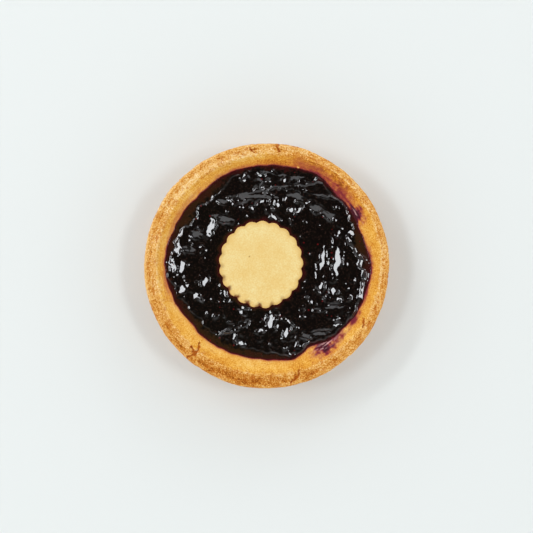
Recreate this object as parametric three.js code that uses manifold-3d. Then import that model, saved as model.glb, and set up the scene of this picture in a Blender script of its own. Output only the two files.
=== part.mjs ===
// A berry tart 110 mm across: a shortcrust case baked golden brown, dark berry jam poured into it
// almost to the rim, and a small scalloped biscuit laid on the jam. Millimetres, +Z up. The origin
// is at the middle of the flat base, and angles run anticlockwise from +X, in degrees.
import * as THREE from 'three';
import { mergeVertices } from 'three/addons/utils/BufferGeometryUtils.js';
import Module from 'manifold-3d';

const wasm = await Module();
wasm.setup();

// ---- driving dimensions ----
const tartRadius = 55;          // the rim at its widest
const tartHeight = 24.8;        // the base to the ridge of the rim, on average
const baseRadius = 47.5;        // the flat base with its rounded foot
const footRound = 3;            // rounding between the base and the outer wall
const shoulderHeight = 22.2;    // where the outer wall is widest
const ridgeInset = 4.9;         // the ridge of the rim, in from the widest point
const jamRadius = 44.4;         // the jam's edge on the sloping inner wall, on average
const jamLevel = 21.2;          // height of that edge
const floorThickness = 5.5;     // crust under the jam
const wellRadius = 39.5;        // the well where its wall meets its floor
const gap = 0.3;                // kept between pieces that touch
const turns = 96;               // steps round the tart, shared by the crust and the jam

const jamSwell = 0.9;           // the thick jam stands over its thin edge by this much
const biscuitRadius = 18.9;     // to the middle of the scallops
const biscuitScallops = 21;
const scallopDepth = 0.95;      // from the top of a scallop to the notch beside it
const biscuitThickness = 4;
const biscuitEdge = 0.5;        // rounding of the biscuit's edges
const biscuitMiddle = new THREE.Vector3(-2.5, 0.8, 19.3);   // the middle of its underside
const biscuitTilt = [1.1, 0.4]; // its lean about X and about Y

const crustColour = '#d9a35f';
const jamColour = '#1c0d12';
const biscuitColour = '#efd08a';

// ---- small helpers ----
const radians = THREE.MathUtils.degToRad;
const { lerp, smoothstep } = THREE.MathUtils;

// a smooth bump of height 1 round one angle
function lobe(angle, middle, width) {
  const away = THREE.MathUtils.euclideanModulo(angle - middle + 180, 360) - 180;
  return Math.exp(-((away / width) ** 2));
}

function lobes(angle, list) {
  return list.reduce((sum, [middle, width, size]) => sum + size * lobe(angle, middle, width), 0);
}

function wave(angle, count, phase) {
  return Math.cos(radians(count * (angle - phase)));
}

// a seeded draw, so that the lumps in the jam fall in the same places each time
function dice(seed) {
  let state = seed;
  return (low, high) => {
    state = (state * 16807) % 2147483647;
    return lerp(low, high, state / 2147483647);
  };
}

// a lathe turned about Z, each point of which is then moved by shape(radius, height, angle, row)
function turned(profile, shape) {
  const geometry = new THREE.LatheGeometry(profile, turns);
  geometry.rotateX(Math.PI / 2);
  const place = geometry.attributes.position;
  for (let i = 0; i < place.count; i++) {
    const step = Math.floor(i / profile.length) % turns;
    const angle = 360 * step / turns;
    const row = i % profile.length;
    const [radius, height] = shape(profile[row].x, profile[row].y, angle, row);
    place.setXYZ(i, radius * Math.cos(radians(angle)), radius * Math.sin(radians(angle)), height);
  }
  return geometry;
}

function solid(geometry) {
  const bare = geometry.clone();
  for (const name of Object.keys(bare.attributes)) {
    if (name !== 'position') bare.deleteAttribute(name);
  }
  const merged = mergeVertices(bare, 1e-4);
  return new wasm.Manifold(new wasm.Mesh({
    numProp: 3,
    vertProperties: new Float32Array(merged.attributes.position.array),
    triVerts: new Uint32Array(merged.index.array),
  }));
}

function geometryOf(body) {
  const mesh = body.getMesh();
  const geometry = new THREE.BufferGeometry();
  geometry.setAttribute('position', new THREE.BufferAttribute(mesh.vertProperties, 3));
  geometry.setIndex(new THREE.BufferAttribute(mesh.triVerts, 1));
  geometry.computeVertexNormals();
  return geometry;
}

function piece(name, geometry, colour, roughness) {
  const material = new THREE.MeshStandardMaterial({ color: colour, roughness, metalness: 0 });
  const mesh = new THREE.Mesh(geometry, material);
  mesh.name = name;
  return mesh;
}

// ---- the shape of the well, shared by the crust and the jam ----
// The jam's edge is uneven: it runs higher up the wall at the back than at the front.
const edgeLobes = [
  [0, 8, 1.1], [22, 14, -1.2], [44, 6, -0.6], [62, 12, 1.3], [136, 9, -0.9],
  [172, 14, 0.9], [216, 8, -1.0], [282, 10, 0.9], [298, 7, -1.6], [333, 14, 1.2],
];

function jamEdge(angle) {
  const shift = 0.4 * wave(angle, 1, 0) + 1.65 * wave(angle, 1, 90);
  return jamRadius + shift + 0.9 * wave(angle, 2, 0) + lobes(angle, edgeLobes);
}

// The ridge is further out on the right, and further in along the front.
function ridgeRadius(angle) {
  const drift = 1.1 * wave(angle, 1, 25) + 0.5 * wave(angle, 2, 20);
  return tartRadius - ridgeInset + drift - 0.6 * lobe(angle, 255, 35) + 0.12 * wave(angle, 9, 12);
}

function ridgeHeight(angle) {
  return tartHeight + 0.2 * wave(angle, 3, 40) + 0.16 * wave(angle, 7, 10) + 0.1 * wave(angle, 13, 5);
}

// ---- crust ----
// The profile runs from the middle of the base, out and up the wall, over the rim and down the well.
const foot = [0, 30, 60, 90].map((turn) => new THREE.Vector2(
  baseRadius - footRound + footRound * Math.sin(radians(turn)),
  footRound * (1 - Math.cos(radians(turn))),
));
const wall = [0.25, 0.5, 0.75, 1].map((share) => new THREE.Vector2(
  lerp(baseRadius, tartRadius, share ** 0.9),
  lerp(footRound, shoulderHeight, share),
));
const shoulderDepth = 1.7;      // how far in the rounded shoulder reaches
const shoulder = [25, 50, 75].map((turn) => new THREE.Vector2(
  tartRadius - shoulderDepth * (1 - Math.cos(radians(turn))),
  shoulderHeight + (tartHeight - 0.35 - shoulderHeight) * Math.sin(radians(turn)),
));
const outside = [new THREE.Vector2(0, 0), new THREE.Vector2(25, 0), ...foot, ...wall, ...shoulder];

// Shares of the way from the shoulder to the ridge, from the ridge down to the jam's edge, and from
// there down to the floor. The rows get their true radius from the angle.
const rimShares = [0.3, 0.65, 1];
const slopeShares = [0.18, 0.42, 0.7, 1];
const wellShares = [0.25, 0.55, 0.85, 1];
const inside = [...rimShares, ...slopeShares, ...wellShares].map(() => new THREE.Vector2(1, 0));
const floorRound = 2.5;
const floor = [
  new THREE.Vector2(wellRadius - floorRound, floorThickness),
  new THREE.Vector2(22, floorThickness),
  new THREE.Vector2(0, floorThickness),
];
const crustProfile = [...outside, ...inside, ...floor];

// a point of the wall of the well, from the jam's edge (share 0) down to the floor (share 1)
function wellPoint(angle, share) {
  const radius = lerp(jamEdge(angle), wellRadius, 1 - (1 - share) ** 1.4);
  return [radius, lerp(jamLevel, floorThickness + floorRound, share)];
}

function rimPoint(angle, share) {
  const start = tartRadius - shoulderDepth;
  const rough = 0.16 * wave(angle, 19, 25 * share) + 0.12 * wave(angle, 23, 3);
  const height = lerp(tartHeight - 0.35, ridgeHeight(angle), smoothstep(share, 0, 1));
  return [lerp(start, ridgeRadius(angle), share), height + rough * (1 - share)];
}

function slopePoint(angle, share) {
  const hollow = 0.35 * Math.sin(Math.PI * share) + 0.15 * wave(angle, 11, 7) * share * (1 - share);
  const height = lerp(ridgeHeight(angle), jamLevel, share ** 1.15) - hollow;
  return [lerp(ridgeRadius(angle), jamEdge(angle), share), height];
}

function crustShape(radius, height, angle, row) {
  const rimRow = row - outside.length;
  const slopeRow = rimRow - rimShares.length;
  const wellRow = slopeRow - slopeShares.length;
  if (rimRow < 0) {
    const upThere = smoothstep(height, footRound, shoulderHeight);
    const uneven = 0.08 * wave(angle, 6, 20) + 0.06 * wave(angle, 10, 3) + 0.05 * wave(angle, 16, 9);
    return [radius + uneven * upThere, height];
  }
  if (slopeRow < 0) return rimPoint(angle, rimShares[rimRow]);
  if (wellRow < 0) return slopePoint(angle, slopeShares[slopeRow]);
  if (wellRow < wellShares.length) return wellPoint(angle, wellShares[wellRow]);
  return [radius, height];
}

// A crack is a run of thin deep lozenges between its points, each given by angle and radius.
const crackWidth = 0.9;
const crackDepth = 1.2;
const cracks = [
  [[96.3, 51.3], [98.1, 53.2]],
  [[83.7, 51.6], [85.1, 54], [84.3, 55.4]],
  [[228.8, 46], [231.1, 48.6], [229.6, 50.4], [230.2, 52.2], [229, 54.8]],
  [[229.8, 50.2], [226.7, 49.5]],
  [[287.3, 49.2], [286.2, 51.2], [281.8, 53.5]],
  [[331.7, 49.2], [327.7, 51.2]],
  [[71, 46.8], [71.6, 50], [70.4, 52.9]],
];

function polar(angle, radius, height) {
  return new THREE.Vector3(radius * Math.cos(radians(angle)), radius * Math.sin(radians(angle)), height);
}

function crustTop(angle, radius) {
  const ridge = ridgeRadius(angle);
  if (radius > ridge) return ridgeHeight(angle) - 0.1;
  return slopePoint(angle, (ridge - radius) / (ridge - jamEdge(angle)))[1];
}

function lozenge(from, to) {
  const overlap = 1.25;
  const shape = new THREE.OctahedronGeometry(1);
  shape.scale(from.distanceTo(to) / 2 * overlap, crackWidth / 2, crackDepth);
  const along = to.clone().sub(from).normalize();
  const across = new THREE.Vector3(0, 0, 1).cross(along).normalize();
  const up = along.clone().cross(across);
  const middle = from.clone().lerp(to, 0.5);
  shape.applyMatrix4(new THREE.Matrix4().makeBasis(along, across, up).setPosition(middle));
  return shape;
}

function crustGeometry() {
  let body = solid(turned(crustProfile, crustShape));
  for (const crack of cracks) {
    const points = crack.map(([angle, radius]) => polar(angle, radius, crustTop(angle, radius)));
    for (let i = 1; i < points.length; i++) {
      body = body.subtract(solid(lozenge(points[i - 1], points[i])));
    }
  }
  return geometryOf(body);
}

// ---- biscuit ----
// A flat biscuit stamped with a scalloped cutter: broad round scallops with narrow notches between.
function biscuitOutline(extra) {
  const steps = biscuitScallops * 6;
  const points = [];
  for (let i = 0; i < steps; i++) {
    const angle = 360 * i / steps;
    const round = 0.3 * wave(angle, 2, 95) + 0.35 * lobe(angle, 278, 9);
    const scallop = scallopDepth * (Math.abs(Math.cos(radians(biscuitScallops * (angle - 2) / 2))) - 0.64);
    const radius = biscuitRadius + round + scallop + extra;
    points.push(new THREE.Vector2(radius * Math.cos(radians(angle)), radius * Math.sin(radians(angle))));
  }
  return new THREE.Shape(points);
}

function laid(geometry) {
  geometry.rotateX(radians(biscuitTilt[0]));
  geometry.rotateY(radians(biscuitTilt[1]));
  geometry.translate(...biscuitMiddle);
  return geometry;
}

function biscuitGeometry() {
  const geometry = new THREE.ExtrudeGeometry(biscuitOutline(-biscuitEdge), {
    depth: biscuitThickness - 2 * biscuitEdge,
    bevelThickness: biscuitEdge,
    bevelSize: biscuitEdge,
    bevelSegments: 2,
    curveSegments: 1,
  });
  geometry.translate(0, 0, biscuitEdge);
  return geometryOf(solid(laid(geometry)));
}

// ---- filling ----
// Thick jam with whole pieces of fruit in it. It thins to a flat shiny margin at the crust.
const marginWidths = [[20, 16, 2.6], [84, 14, 2], [142, 16, 2], [212, 18, 2.6], [255, 24, 2.8], [345, 16, -0.4]];
const fruit = [                 // places and sizes of the mounds that stand out: x, y, radius, height
  [32, 3, 7, 1.0], [27, -22, 6, 0.7], [-27, 17, 7, 0.8], [-31, -9, 6, 0.7], [-8, 33, 7, 0.6],
  [13, 31, 6, 0.8], [-14, -29, 6, 0.6], [9, -29, 6, 0.7], [24, 20, 7, -0.5], [-34, 6, 5, 0.4],
];
const lumpCount = 90;
const draw = dice(41);
const lumps = Array.from({ length: lumpCount }, () => {
  const middle = polar(draw(0, 360), draw(21, 41), 0);
  return [middle.x, middle.y, draw(2, 3.2), draw(-0.5, 0.65)];
});

function jamHeight(angle, radius) {
  const margin = 1.3 + lobes(angle, marginWidths);
  const swell = jamSwell * smoothstep(jamEdge(angle) - radius, 0.3 * margin, margin + 1.6);
  const place = polar(angle, radius, 0);
  const mounds = [...fruit, ...lumps].reduce((sum, [x, y, size, height]) => {
    const away = Math.hypot(place.x - x, place.y - y) / size;
    return sum + height * Math.exp(-2 * away * away);
  }, 0);
  const lifted = smoothstep(jamEdge(angle) - radius, 0.4, 3.5);
  return jamLevel - 0.1 + swell + mounds * lifted;
}

const jamBase = [
  new THREE.Vector2(0, floorThickness + gap),
  new THREE.Vector2(22, floorThickness + gap),
  new THREE.Vector2(wellRadius - floorRound - gap, floorThickness + gap),
];
const sideShares = [...wellShares].reverse();
const topShares = [1, 0.975, 0.93, 0.875, 0.82, 0.765, 0.71, 0.655, 0.6, 0.545, 0.49, 0.4];
const jamProfile = [
  ...jamBase,
  ...[...sideShares, ...topShares].map(() => new THREE.Vector2(1, 0)),
  new THREE.Vector2(0, jamLevel),
];

function jamShape(radius, height, angle, row) {
  const sideRow = row - jamBase.length;
  const topRow = sideRow - sideShares.length;
  if (sideRow < 0) return [radius, height];
  if (topRow < 0) {
    const [wallRadius, wallHeight] = wellPoint(angle, sideShares[sideRow]);
    return [wallRadius - 1.3 * gap, wallHeight];
  }
  if (topRow >= topShares.length) return [radius, height];
  const reach = (jamEdge(angle) - 1.3 * gap) * topShares[topRow];
  return [reach, jamHeight(angle, reach)];
}

function fillingGeometry() {
  const pocket = new THREE.ExtrudeGeometry(biscuitOutline(gap), {
    depth: 3 * biscuitThickness,
    bevelEnabled: false,
    curveSegments: 1,
  });
  pocket.translate(0, 0, -gap);
  return geometryOf(solid(turned(jamProfile, jamShape)).subtract(solid(laid(pocket))));
}

// ---- the tart ----
const tart = new THREE.Group();
tart.add(
  piece('crust', crustGeometry(), crustColour, 0.8),
  piece('filling', fillingGeometry(), jamColour, 0.12),
  piece('biscuit', biscuitGeometry(), biscuitColour, 0.7),
);

export default tart;
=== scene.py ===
import math

import bmesh
import bpy
import numpy as np
from mathutils import Matrix, Vector, noise


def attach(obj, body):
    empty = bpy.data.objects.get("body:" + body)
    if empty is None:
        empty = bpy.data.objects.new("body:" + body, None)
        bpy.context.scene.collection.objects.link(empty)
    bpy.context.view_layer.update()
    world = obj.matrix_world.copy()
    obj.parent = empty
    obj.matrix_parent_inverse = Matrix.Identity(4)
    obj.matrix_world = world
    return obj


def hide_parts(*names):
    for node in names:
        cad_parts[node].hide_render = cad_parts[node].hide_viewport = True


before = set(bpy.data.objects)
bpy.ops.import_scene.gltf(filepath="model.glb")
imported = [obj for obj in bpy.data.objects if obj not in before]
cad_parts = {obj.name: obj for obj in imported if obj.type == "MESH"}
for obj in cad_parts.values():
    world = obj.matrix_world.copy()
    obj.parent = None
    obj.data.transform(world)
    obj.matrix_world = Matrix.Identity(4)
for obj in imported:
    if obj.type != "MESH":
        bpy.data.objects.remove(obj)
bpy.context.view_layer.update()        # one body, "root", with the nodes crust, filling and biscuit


# ---- Studio ----
# A plain pale floor and pale walls under a dark ceiling, so level jam looks black and only its slopes
# catch a light: a bright narrow panel on each side of the tart, a thin one past its back left corner,
# and two wide dim ones behind it.
scene = bpy.context.scene
scene.view_settings.view_transform = "Standard"

MM = 0.001                              # pieces are shaped in millimetres and scaled to metres
PICTURE = 533                           # pixels along each side of the picture
PIXEL = 0.449 * MM                      # what one pixel covers at the rim of the tart
TART_PIXEL = (266.6, 265.9)             # the middle of the tart in the picture, from its top left
RIM_LEVEL = 22.2 * MM                   # height at which the tart is widest
CAMERA_HEIGHT = 0.9
FLOOR_SIZE = 6.0


def colour(code):
    """An sRGB hex value as linear red, green, blue and alpha."""
    shares = [int(code[i:i + 2], 16) / 255 for i in (1, 3, 5)]
    return [s / 12.92 if s <= 0.04045 else ((s + 0.055) / 1.055) ** 2.4 for s in shares] + [1.0]


def add(tree, kind, inputs=None, stops=(), **settings):
    """A shader node with its settings, its inputs set or linked, and, on a colour ramp, its stops, each
    a position and a hex colour."""
    node = tree.nodes.new("ShaderNode" + kind)
    for name, value in settings.items():
        setattr(node, name, value)
    for name, value in (inputs or {}).items():
        if isinstance(value, bpy.types.NodeSocket):
            tree.links.new(value, node.inputs[name])
        else:
            node.inputs[name].default_value = value
    for number, (position, code) in enumerate(stops):
        if number == len(node.color_ramp.elements):
            node.color_ramp.elements.new(1)
        node.color_ramp.elements[number].position = position
        node.color_ramp.elements[number].color = colour(code)
    return node


def new_material(name):
    """An empty material and its node tree."""
    material = bpy.data.materials.new(name)
    material.use_nodes = True
    material.node_tree.nodes.clear()
    return material, material.node_tree


def put(name, data):
    """Puts data into the scene under a name."""
    item = bpy.data.objects.new(name, data)
    scene.collection.objects.link(item)
    return item


painted_board, tree = new_material("painted_board")     # matt and even, so it only carries shadows
board = add(tree, "BsdfPrincipled", {"Base Color": colour("#d9dbd8"), "Roughness": 0.9,
                                     "Specular IOR Level": 0.2})
add(tree, "OutputMaterial", {"Surface": board.outputs["BSDF"]})

floor_form = bmesh.new()
bmesh.ops.create_grid(floor_form, x_segments=1, y_segments=1, size=FLOOR_SIZE / 2)
floor_mesh = bpy.data.meshes.new("floor")
floor_form.to_mesh(floor_mesh)
floor_form.free()
floor_mesh.materials.append(painted_board)
put("floor", floor_mesh)


def panel(name, azimuth, lean, across, tall, radiance, distance=2.5):
    """A soft light panel that faces the tart. Its azimuth from +X, its lean from straight above and its
    size, seen from the tart, are in degrees: across is round the tart, tall is towards the ceiling."""
    light = bpy.data.lights.new(name, "AREA")
    light.shape = "RECTANGLE"
    light.size = 2 * distance * math.tan(math.radians(across / 2))
    light.size_y = 2 * distance * math.tan(math.radians(tall / 2))
    light.energy = radiance * math.pi * light.size * light.size_y
    light.color = colour("#f8fbff")[:3]
    item = put(name, light)
    turn, tilt = math.radians(azimuth), math.radians(lean)
    towards = Vector((math.sin(tilt) * math.cos(turn), math.sin(tilt) * math.sin(turn), math.cos(tilt)))
    item.location = towards * distance
    item.rotation_euler = towards.to_track_quat("Z", "Y").to_euler()
    item.visible_camera = False


# Where the panels stand that the folds of the jam are turned to.
LEFT = {"azimuth": 176, "lean": 27}
RIGHT = {"azimuth": 4, "lean": 27}
BACK = {"azimuth": 80, "lean": 33}
panel("left_panel", **LEFT, across=14.5, tall=8.5, radiance=14.5)
panel("right_panel", **RIGHT, across=14.5, tall=8.5, radiance=14.5)
panel("corner_panel", azimuth=146, lean=44, across=34, tall=5, radiance=12)
panel("back_panel", **BACK, across=25, tall=12, radiance=1.35)
panel("low_back_panel", azimuth=66, lean=64, across=26, tall=16, radiance=1.3)

WALL_LIGHT = 4.2
world = bpy.data.worlds.new("studio_walls")
world.use_nodes = True
world.node_tree.nodes.clear()
tree = world.node_tree
direction = add(tree, "TexCoord").outputs["Generated"]
up = add(tree, "SeparateXYZ", {"Vector": direction}).outputs["Z"]
walls = add(tree, "ValToRGB", {"Fac": up}, stops=[
    (0.0, "#b0b3b5"), (0.3, "#a6a9ab"), (0.5, "#909294"), (0.86, "#525352"), (0.96, "#1a1b1b")])
walls_light = add(tree, "Background", {"Color": walls.outputs["Color"], "Strength": WALL_LIGHT})
add(tree, "OutputWorld", {"Surface": walls_light.outputs["Background"]})
scene.world = world

camera_data = bpy.data.cameras.new("camera")
camera_data.sensor_width = 36
camera_data.lens = camera_data.sensor_width * (CAMERA_HEIGHT - RIM_LEVEL) / (PICTURE * PIXEL)
camera_data.clip_end = 5
camera = put("camera", camera_data)
camera_x = (PICTURE / 2 - TART_PIXEL[0]) * PIXEL
camera_y = (TART_PIXEL[1] - PICTURE / 2) * PIXEL
camera.location = (camera_x, camera_y, CAMERA_HEIGHT)
scene.camera = camera


# ---- Crust ----
# A case of shortcrust pressed into a round tin and baked golden. Its rim is flat, rough and sandy, its
# inner wall smooth where the jam was poured, and the rim has dried into a few short cracks.
TART_RADIUS = 55                        # the rim at its widest
TART_HEIGHT = 24.8                      # the base to the ridge of the rim
BASE_RADIUS = 47.5
FOOT_ROUND = 3
SHOULDER_HEIGHT = 22.2                  # where the wall is widest
SHOULDER_DEPTH = 1.7
RIM_DROP = 0.35                         # the outer edge of the flat rim, under the ridge
RIDGE_INSET = 4.9                       # the ridge, in from the widest point
JAM_RADIUS = 44.4                       # the jam's edge on the inner wall
JAM_LEVEL = 21.2
WELL_RADIUS = 39.5
CRUST_FLOOR = 5.5                       # thickness under the jam
FLOOR_ROUND = 2.5
TURN_STEPS = 880                        # about 0.38 mm each round the rim
SECTORS = 8                             # one sector is spun, then copied round


def lerp(low, high, share):
    return low + (high - low) * share


def smooth(value, low, high):
    """0 at low, 1 at high, which may be the smaller, and an even curve between."""
    share = np.clip((value - low) / (high - low), 0, 1)
    return share * share * (3 - 2 * share)


def lobe(angle, middle, width):
    """A smooth bump of height 1 round one angle, in degrees."""
    away = (angle - middle + 180) % 360 - 180
    return np.exp(-((away / width) ** 2))


def lobes(angle, sizes):
    return sum(size * lobe(angle, middle, width) for middle, width, size in sizes)


def wave(angle, count, phase):
    return np.cos(np.radians(count * (angle - phase)))


def polar(angle, radius):
    turn = math.radians(angle)
    return np.array((radius * math.cos(turn), radius * math.sin(turn)))


def grain(spots, size, seed):
    """Perlin noise from about -1 to 1 at each spot, with bumps about size mm apart."""
    return np.array([noise.noise(Vector(spot)) for spot in spots / size + 17.3 * seed])


# Where the jam's edge swings out or in: angle, how far round in degrees, and how far out in mm.
EDGE_LOBES = [(0, 8, 1.1), (22, 14, -1.2), (46, 9, -1.3), (62, 12, 1.3), (127, 10, -0.8), (136, 9, -0.9),
              (157, 15, -1.0), (172, 14, 0.9), (186, 6, 0.4), (216, 8, -1.0), (282, 10, 0.9),
              (288, 5, 0.7), (298, 7, -1.6), (312, 5, 0.6), (333, 14, 1.2), (351, 7, 0.7)]


def jam_edge(angle):
    """Radius at which the jam meets the inner wall."""
    shift = 0.4 * wave(angle, 1, 0) + 1.65 * wave(angle, 1, 90)
    fine = 0.12 * wave(angle, 31, 4) + 0.09 * wave(angle, 47, 2)
    return JAM_RADIUS + shift + 0.9 * wave(angle, 2, 0) + lobes(angle, EDGE_LOBES) + fine


def ridge_radius(angle):
    drift = 1.1 * wave(angle, 1, 25) + 0.5 * wave(angle, 2, 20)
    drift += 0.6 * lobe(angle, 50, 18) - 0.6 * lobe(angle, 255, 35)
    uneven = 0.12 * wave(angle, 9, 12) + 0.08 * wave(angle, 21, 5)
    return TART_RADIUS - RIDGE_INSET + drift + uneven


def ridge_height(angle):
    return TART_HEIGHT + 0.2 * wave(angle, 3, 40) + 0.16 * wave(angle, 7, 10) + 0.1 * wave(angle, 13, 5)


def rim_point(angle, share):
    """From the shoulder, share 0, across the flat rim to the ridge, share 1."""
    height = lerp(TART_HEIGHT - RIM_DROP, ridge_height(angle), smooth(share, 0, 1))
    return lerp(TART_RADIUS - SHOULDER_DEPTH, ridge_radius(angle), share), height


def slope_point(angle, share):
    """From the ridge, share 0, down the inner wall to the jam's edge, share 1."""
    hollow = 0.35 * math.sin(math.pi * share) + 0.15 * wave(angle, 11, 7) * share * (1 - share)
    fall = 1.08 * share * share / (share + 0.08)
    height = lerp(ridge_height(angle), JAM_LEVEL, fall) - hollow
    return lerp(ridge_radius(angle), jam_edge(angle), share), height


def well_point(angle, share):
    """From the jam's edge, share 0, down the hidden wall to the floor of the well, share 1."""
    radius = lerp(jam_edge(angle), WELL_RADIUS, 1 - (1 - share) ** 1.4)
    return radius, lerp(JAM_LEVEL, CRUST_FLOOR + FLOOR_ROUND, share)


def outer_point(angle, radius, height):
    """The base and the outer wall, slightly uneven towards the rim."""
    uneven = 0.08 * wave(angle, 6, 20) + 0.06 * wave(angle, 10, 3) + 0.05 * wave(angle, 16, 9)
    return radius + uneven * smooth(height, FOOT_ROUND, SHOULDER_HEIGHT), height


def level_point(angle, radius, height):
    return radius, height


def shares(count):
    """Even steps that end at 1."""
    return [(i + 1) / count for i in range(count)]


def crust_rows():
    """The profile from the middle of the base, up the wall, over the rim and down to the middle of the
    well: for each row the part it belongs to, the function that places it, and what that is given."""
    rows = [("base", level_point, radius, 0) for radius in (0, 12, 24, 34, 40)]
    for share in [0] + shares(5):
        turn = share * math.pi / 2
        radius = BASE_RADIUS - FOOT_ROUND * (1 - math.sin(turn))
        rows.append(("base", outer_point, radius, FOOT_ROUND * (1 - math.cos(turn))))
    for share in shares(36):
        radius = lerp(BASE_RADIUS, TART_RADIUS, share ** 0.9)
        rows.append(("wall", outer_point, radius, lerp(FOOT_ROUND, SHOULDER_HEIGHT, share)))
    for share in shares(8)[:-1]:
        turn = share * math.pi / 2
        radius = TART_RADIUS - SHOULDER_DEPTH * (1 - math.cos(turn))
        height = lerp(SHOULDER_HEIGHT, TART_HEIGHT - RIM_DROP, math.sin(turn))
        rows.append(("shoulder", outer_point, radius, height))
    rows += [("rim", rim_point, share) for share in [0] + shares(12)]
    rows += [("slope", slope_point, share) for share in shares(20)]
    rows += [("well", well_point, share) for share in shares(4)]
    rows += [("well", level_point, radius, CRUST_FLOOR) for radius in (WELL_RADIUS - FLOOR_ROUND, 22, 0)]
    return rows


def turned(rows, steps):
    """Spins a profile about Z and moves each point to where its row puts it at its angle. Returns the
    bmesh, whose vertices keep their row's number in a layer."""
    form = bmesh.new()
    row_layer = form.verts.layers.int.new("row")
    chain = []
    for number, (_, point, *given) in enumerate(rows):
        radius, height = point(np.float64(0), *given)
        vert = form.verts.new((radius, 0, height))
        vert[row_layer] = number
        chain.append(vert)
    edges = [form.edges.new(pair) for pair in zip(chain, chain[1:])]
    about = {"cent": (0, 0, 0), "axis": (0, 0, 1), "dvec": (0, 0, 0), "use_merge": False}
    bmesh.ops.spin(form, geom=chain + edges, angle=math.tau / SECTORS, steps=steps // SECTORS,
                   use_duplicate=False, **about)
    sector = form.verts[:] + form.edges[:] + form.faces[:]
    bmesh.ops.spin(form, geom=sector, angle=math.tau * (1 - 1 / SECTORS), steps=SECTORS - 1,
                   use_duplicate=True, **about)
    bmesh.ops.remove_doubles(form, verts=form.verts, dist=1e-4)
    spots, angles, _ = measured(form)
    numbers = np.array([vert[row_layer] for vert in form.verts])
    for number, (_, point, *given) in enumerate(rows):
        mine = numbers == number
        turn = np.radians(angles[mine])
        radius, height = point(angles[mine], *given)
        spots[mine] = np.stack(np.broadcast_arrays(radius * np.cos(turn), radius * np.sin(turn), height), 1)
    move_to(form, spots)
    bmesh.ops.recalc_face_normals(form, faces=form.faces)
    return form


def measured(form):
    """Each vertex's place, and its angle and radius seen from above."""
    spots = np.array([vert.co for vert in form.verts])
    angles = np.degrees(np.arctan2(spots[:, 1], spots[:, 0])) % 360
    return spots, angles, np.hypot(spots[:, 0], spots[:, 1])


def move_to(form, spots):
    for vert, spot in zip(form.verts, spots):
        vert.co = spot
    form.normal_update()


def paint(form, name, values):
    """Keeps a number for each vertex, which the material reads by its name."""
    layer = form.verts.layers.float.new(name)
    for vert, value in zip(form.verts, values):
        vert[layer] = value


def part_values(form, rows, values):
    """For each vertex, the value of the part of the profile that its row belongs to, or else 0."""
    row_layer = form.verts.layers.int["row"]
    by_row = np.array([values.get(row[0], 0) for row in rows])
    return by_row[[vert[row_layer] for vert in form.verts]]


# Cracks run between these points, each an angle and a radius: they opened as the rim dried.
CRACKS = [
    [(96.3, 51.3), (98.1, 53.2)],
    [(83.7, 51.6), (85.1, 54.0), (84.3, 55.2)],
    [(228.8, 45.9), (231.1, 48.6), (229.6, 50.4), (230.2, 52.2), (229, 54.8)],
    [(229.8, 50.2), (226.7, 49.5)],
    [(230.7, 49.6), (230.9, 51.3)],
    [(287.3, 49.2), (286.2, 51.2), (281.8, 53.5)],
    [(331.7, 49.2), (327.7, 51.2)],
    [(47.0, 49.1), (48.4, 48.4)],
]
CRACK_WIDTH = 0.75
CRACK_DEPTH = 0.6
CRACK_REACH = 1.0                       # faces this near a crack are cut finer
LIP_HEIGHT = 0.12                       # what the dough beside a crack stands up
FAR = 99.0                              # further than any crack reaches
SLOPE_BOTTOM = 19                       # all of the inner wall that shows is higher than this
CREASE_RADIUS = 52.3
CREASE_DEPTH = 0.16
HOLE_DEPTH = 0.28
CRUMB = (14.3, 44.4)                    # a pale crumb lying where the wall meets the jam
CRUMB_SIZE = 0.5
CRUMB_HEIGHT = 0.7


def crack_distance(spots):
    """How far each spot is from the nearest crack, seen from above."""
    nearest = np.full(len(spots), FAR)
    for crack in CRACKS:
        for start, end in zip(crack, crack[1:]):
            start, along = polar(*start), polar(*end) - polar(*start)
            share = np.clip((spots[:, :2] - start) @ along / (along @ along), 0, 1)
            away = spots[:, :2] - start - share[:, None] * along
            nearest = np.minimum(nearest, np.hypot(away[:, 0], away[:, 1]))
    return nearest


# Jam soaked into the inner wall: angle, radius, how far round in degrees, how far out, and how strong.
SOAKED = [(30.2, 45.4, 6, 3.4, 1.45), (43, 44.9, 14, 4.6, 0.74), (60, 45.2, 10, 4.6, 0.76),
          (70, 46, 6, 4, 0.55), (0, 46.2, 12, 1.6, 1.0), (306, 44.1, 8, 4.5, 1.05),
          (314, 44.6, 7, 2.8, 0.85), (329, 46, 6, 2, 0.8), (110, 45.6, 14, 1, 0.5),
          (150, 45.6, 22, 1.4, 0.42), (186, 45.6, 16, 1.4, 0.5), (345, 46.2, 9, 1.4, 0.75)]
# Pale streaks of painted highlight where wet jam on the crust catches the light: angle, radius, how far
# round in degrees, how far out.
PAINTED_GLINTS = [(29, 45.8, 5, 1.9), (307, 44.4, 6, 1.4)]
# Where the oven browned the crust more or left it paler: angle, radius, how far round in degrees, how
# far across, and how much browner.
BROWNED = [(72, 49.8, 11, 2.0, 0.14), (75, 51.2, 6, 1.0, 0.12), (187, 53.2, 8, 0.9, 0.16),
           (186, 51, 16, 1.6, 0.06), (232, 50.5, 11, 0.9, -0.1), (140, 54.8, 50, 0.8, -0.16),
           (44, 53.6, 20, 1.2, -0.06), (138, 50.3, 26, 0.8, -0.08), (113, 50.3, 8, 1.0, -0.08),
           (96, 49, 14, 1.0, -0.08), (262, 45.3, 34, 1.6, -0.08), (262, 48.9, 34, 1.0, 0.12),
           (133, 48.3, 9, 1.2, 0.12), (318, 48.2, 14, 1.0, 0.14), (118, 53.6, 12, 1.0, -0.08)]

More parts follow.
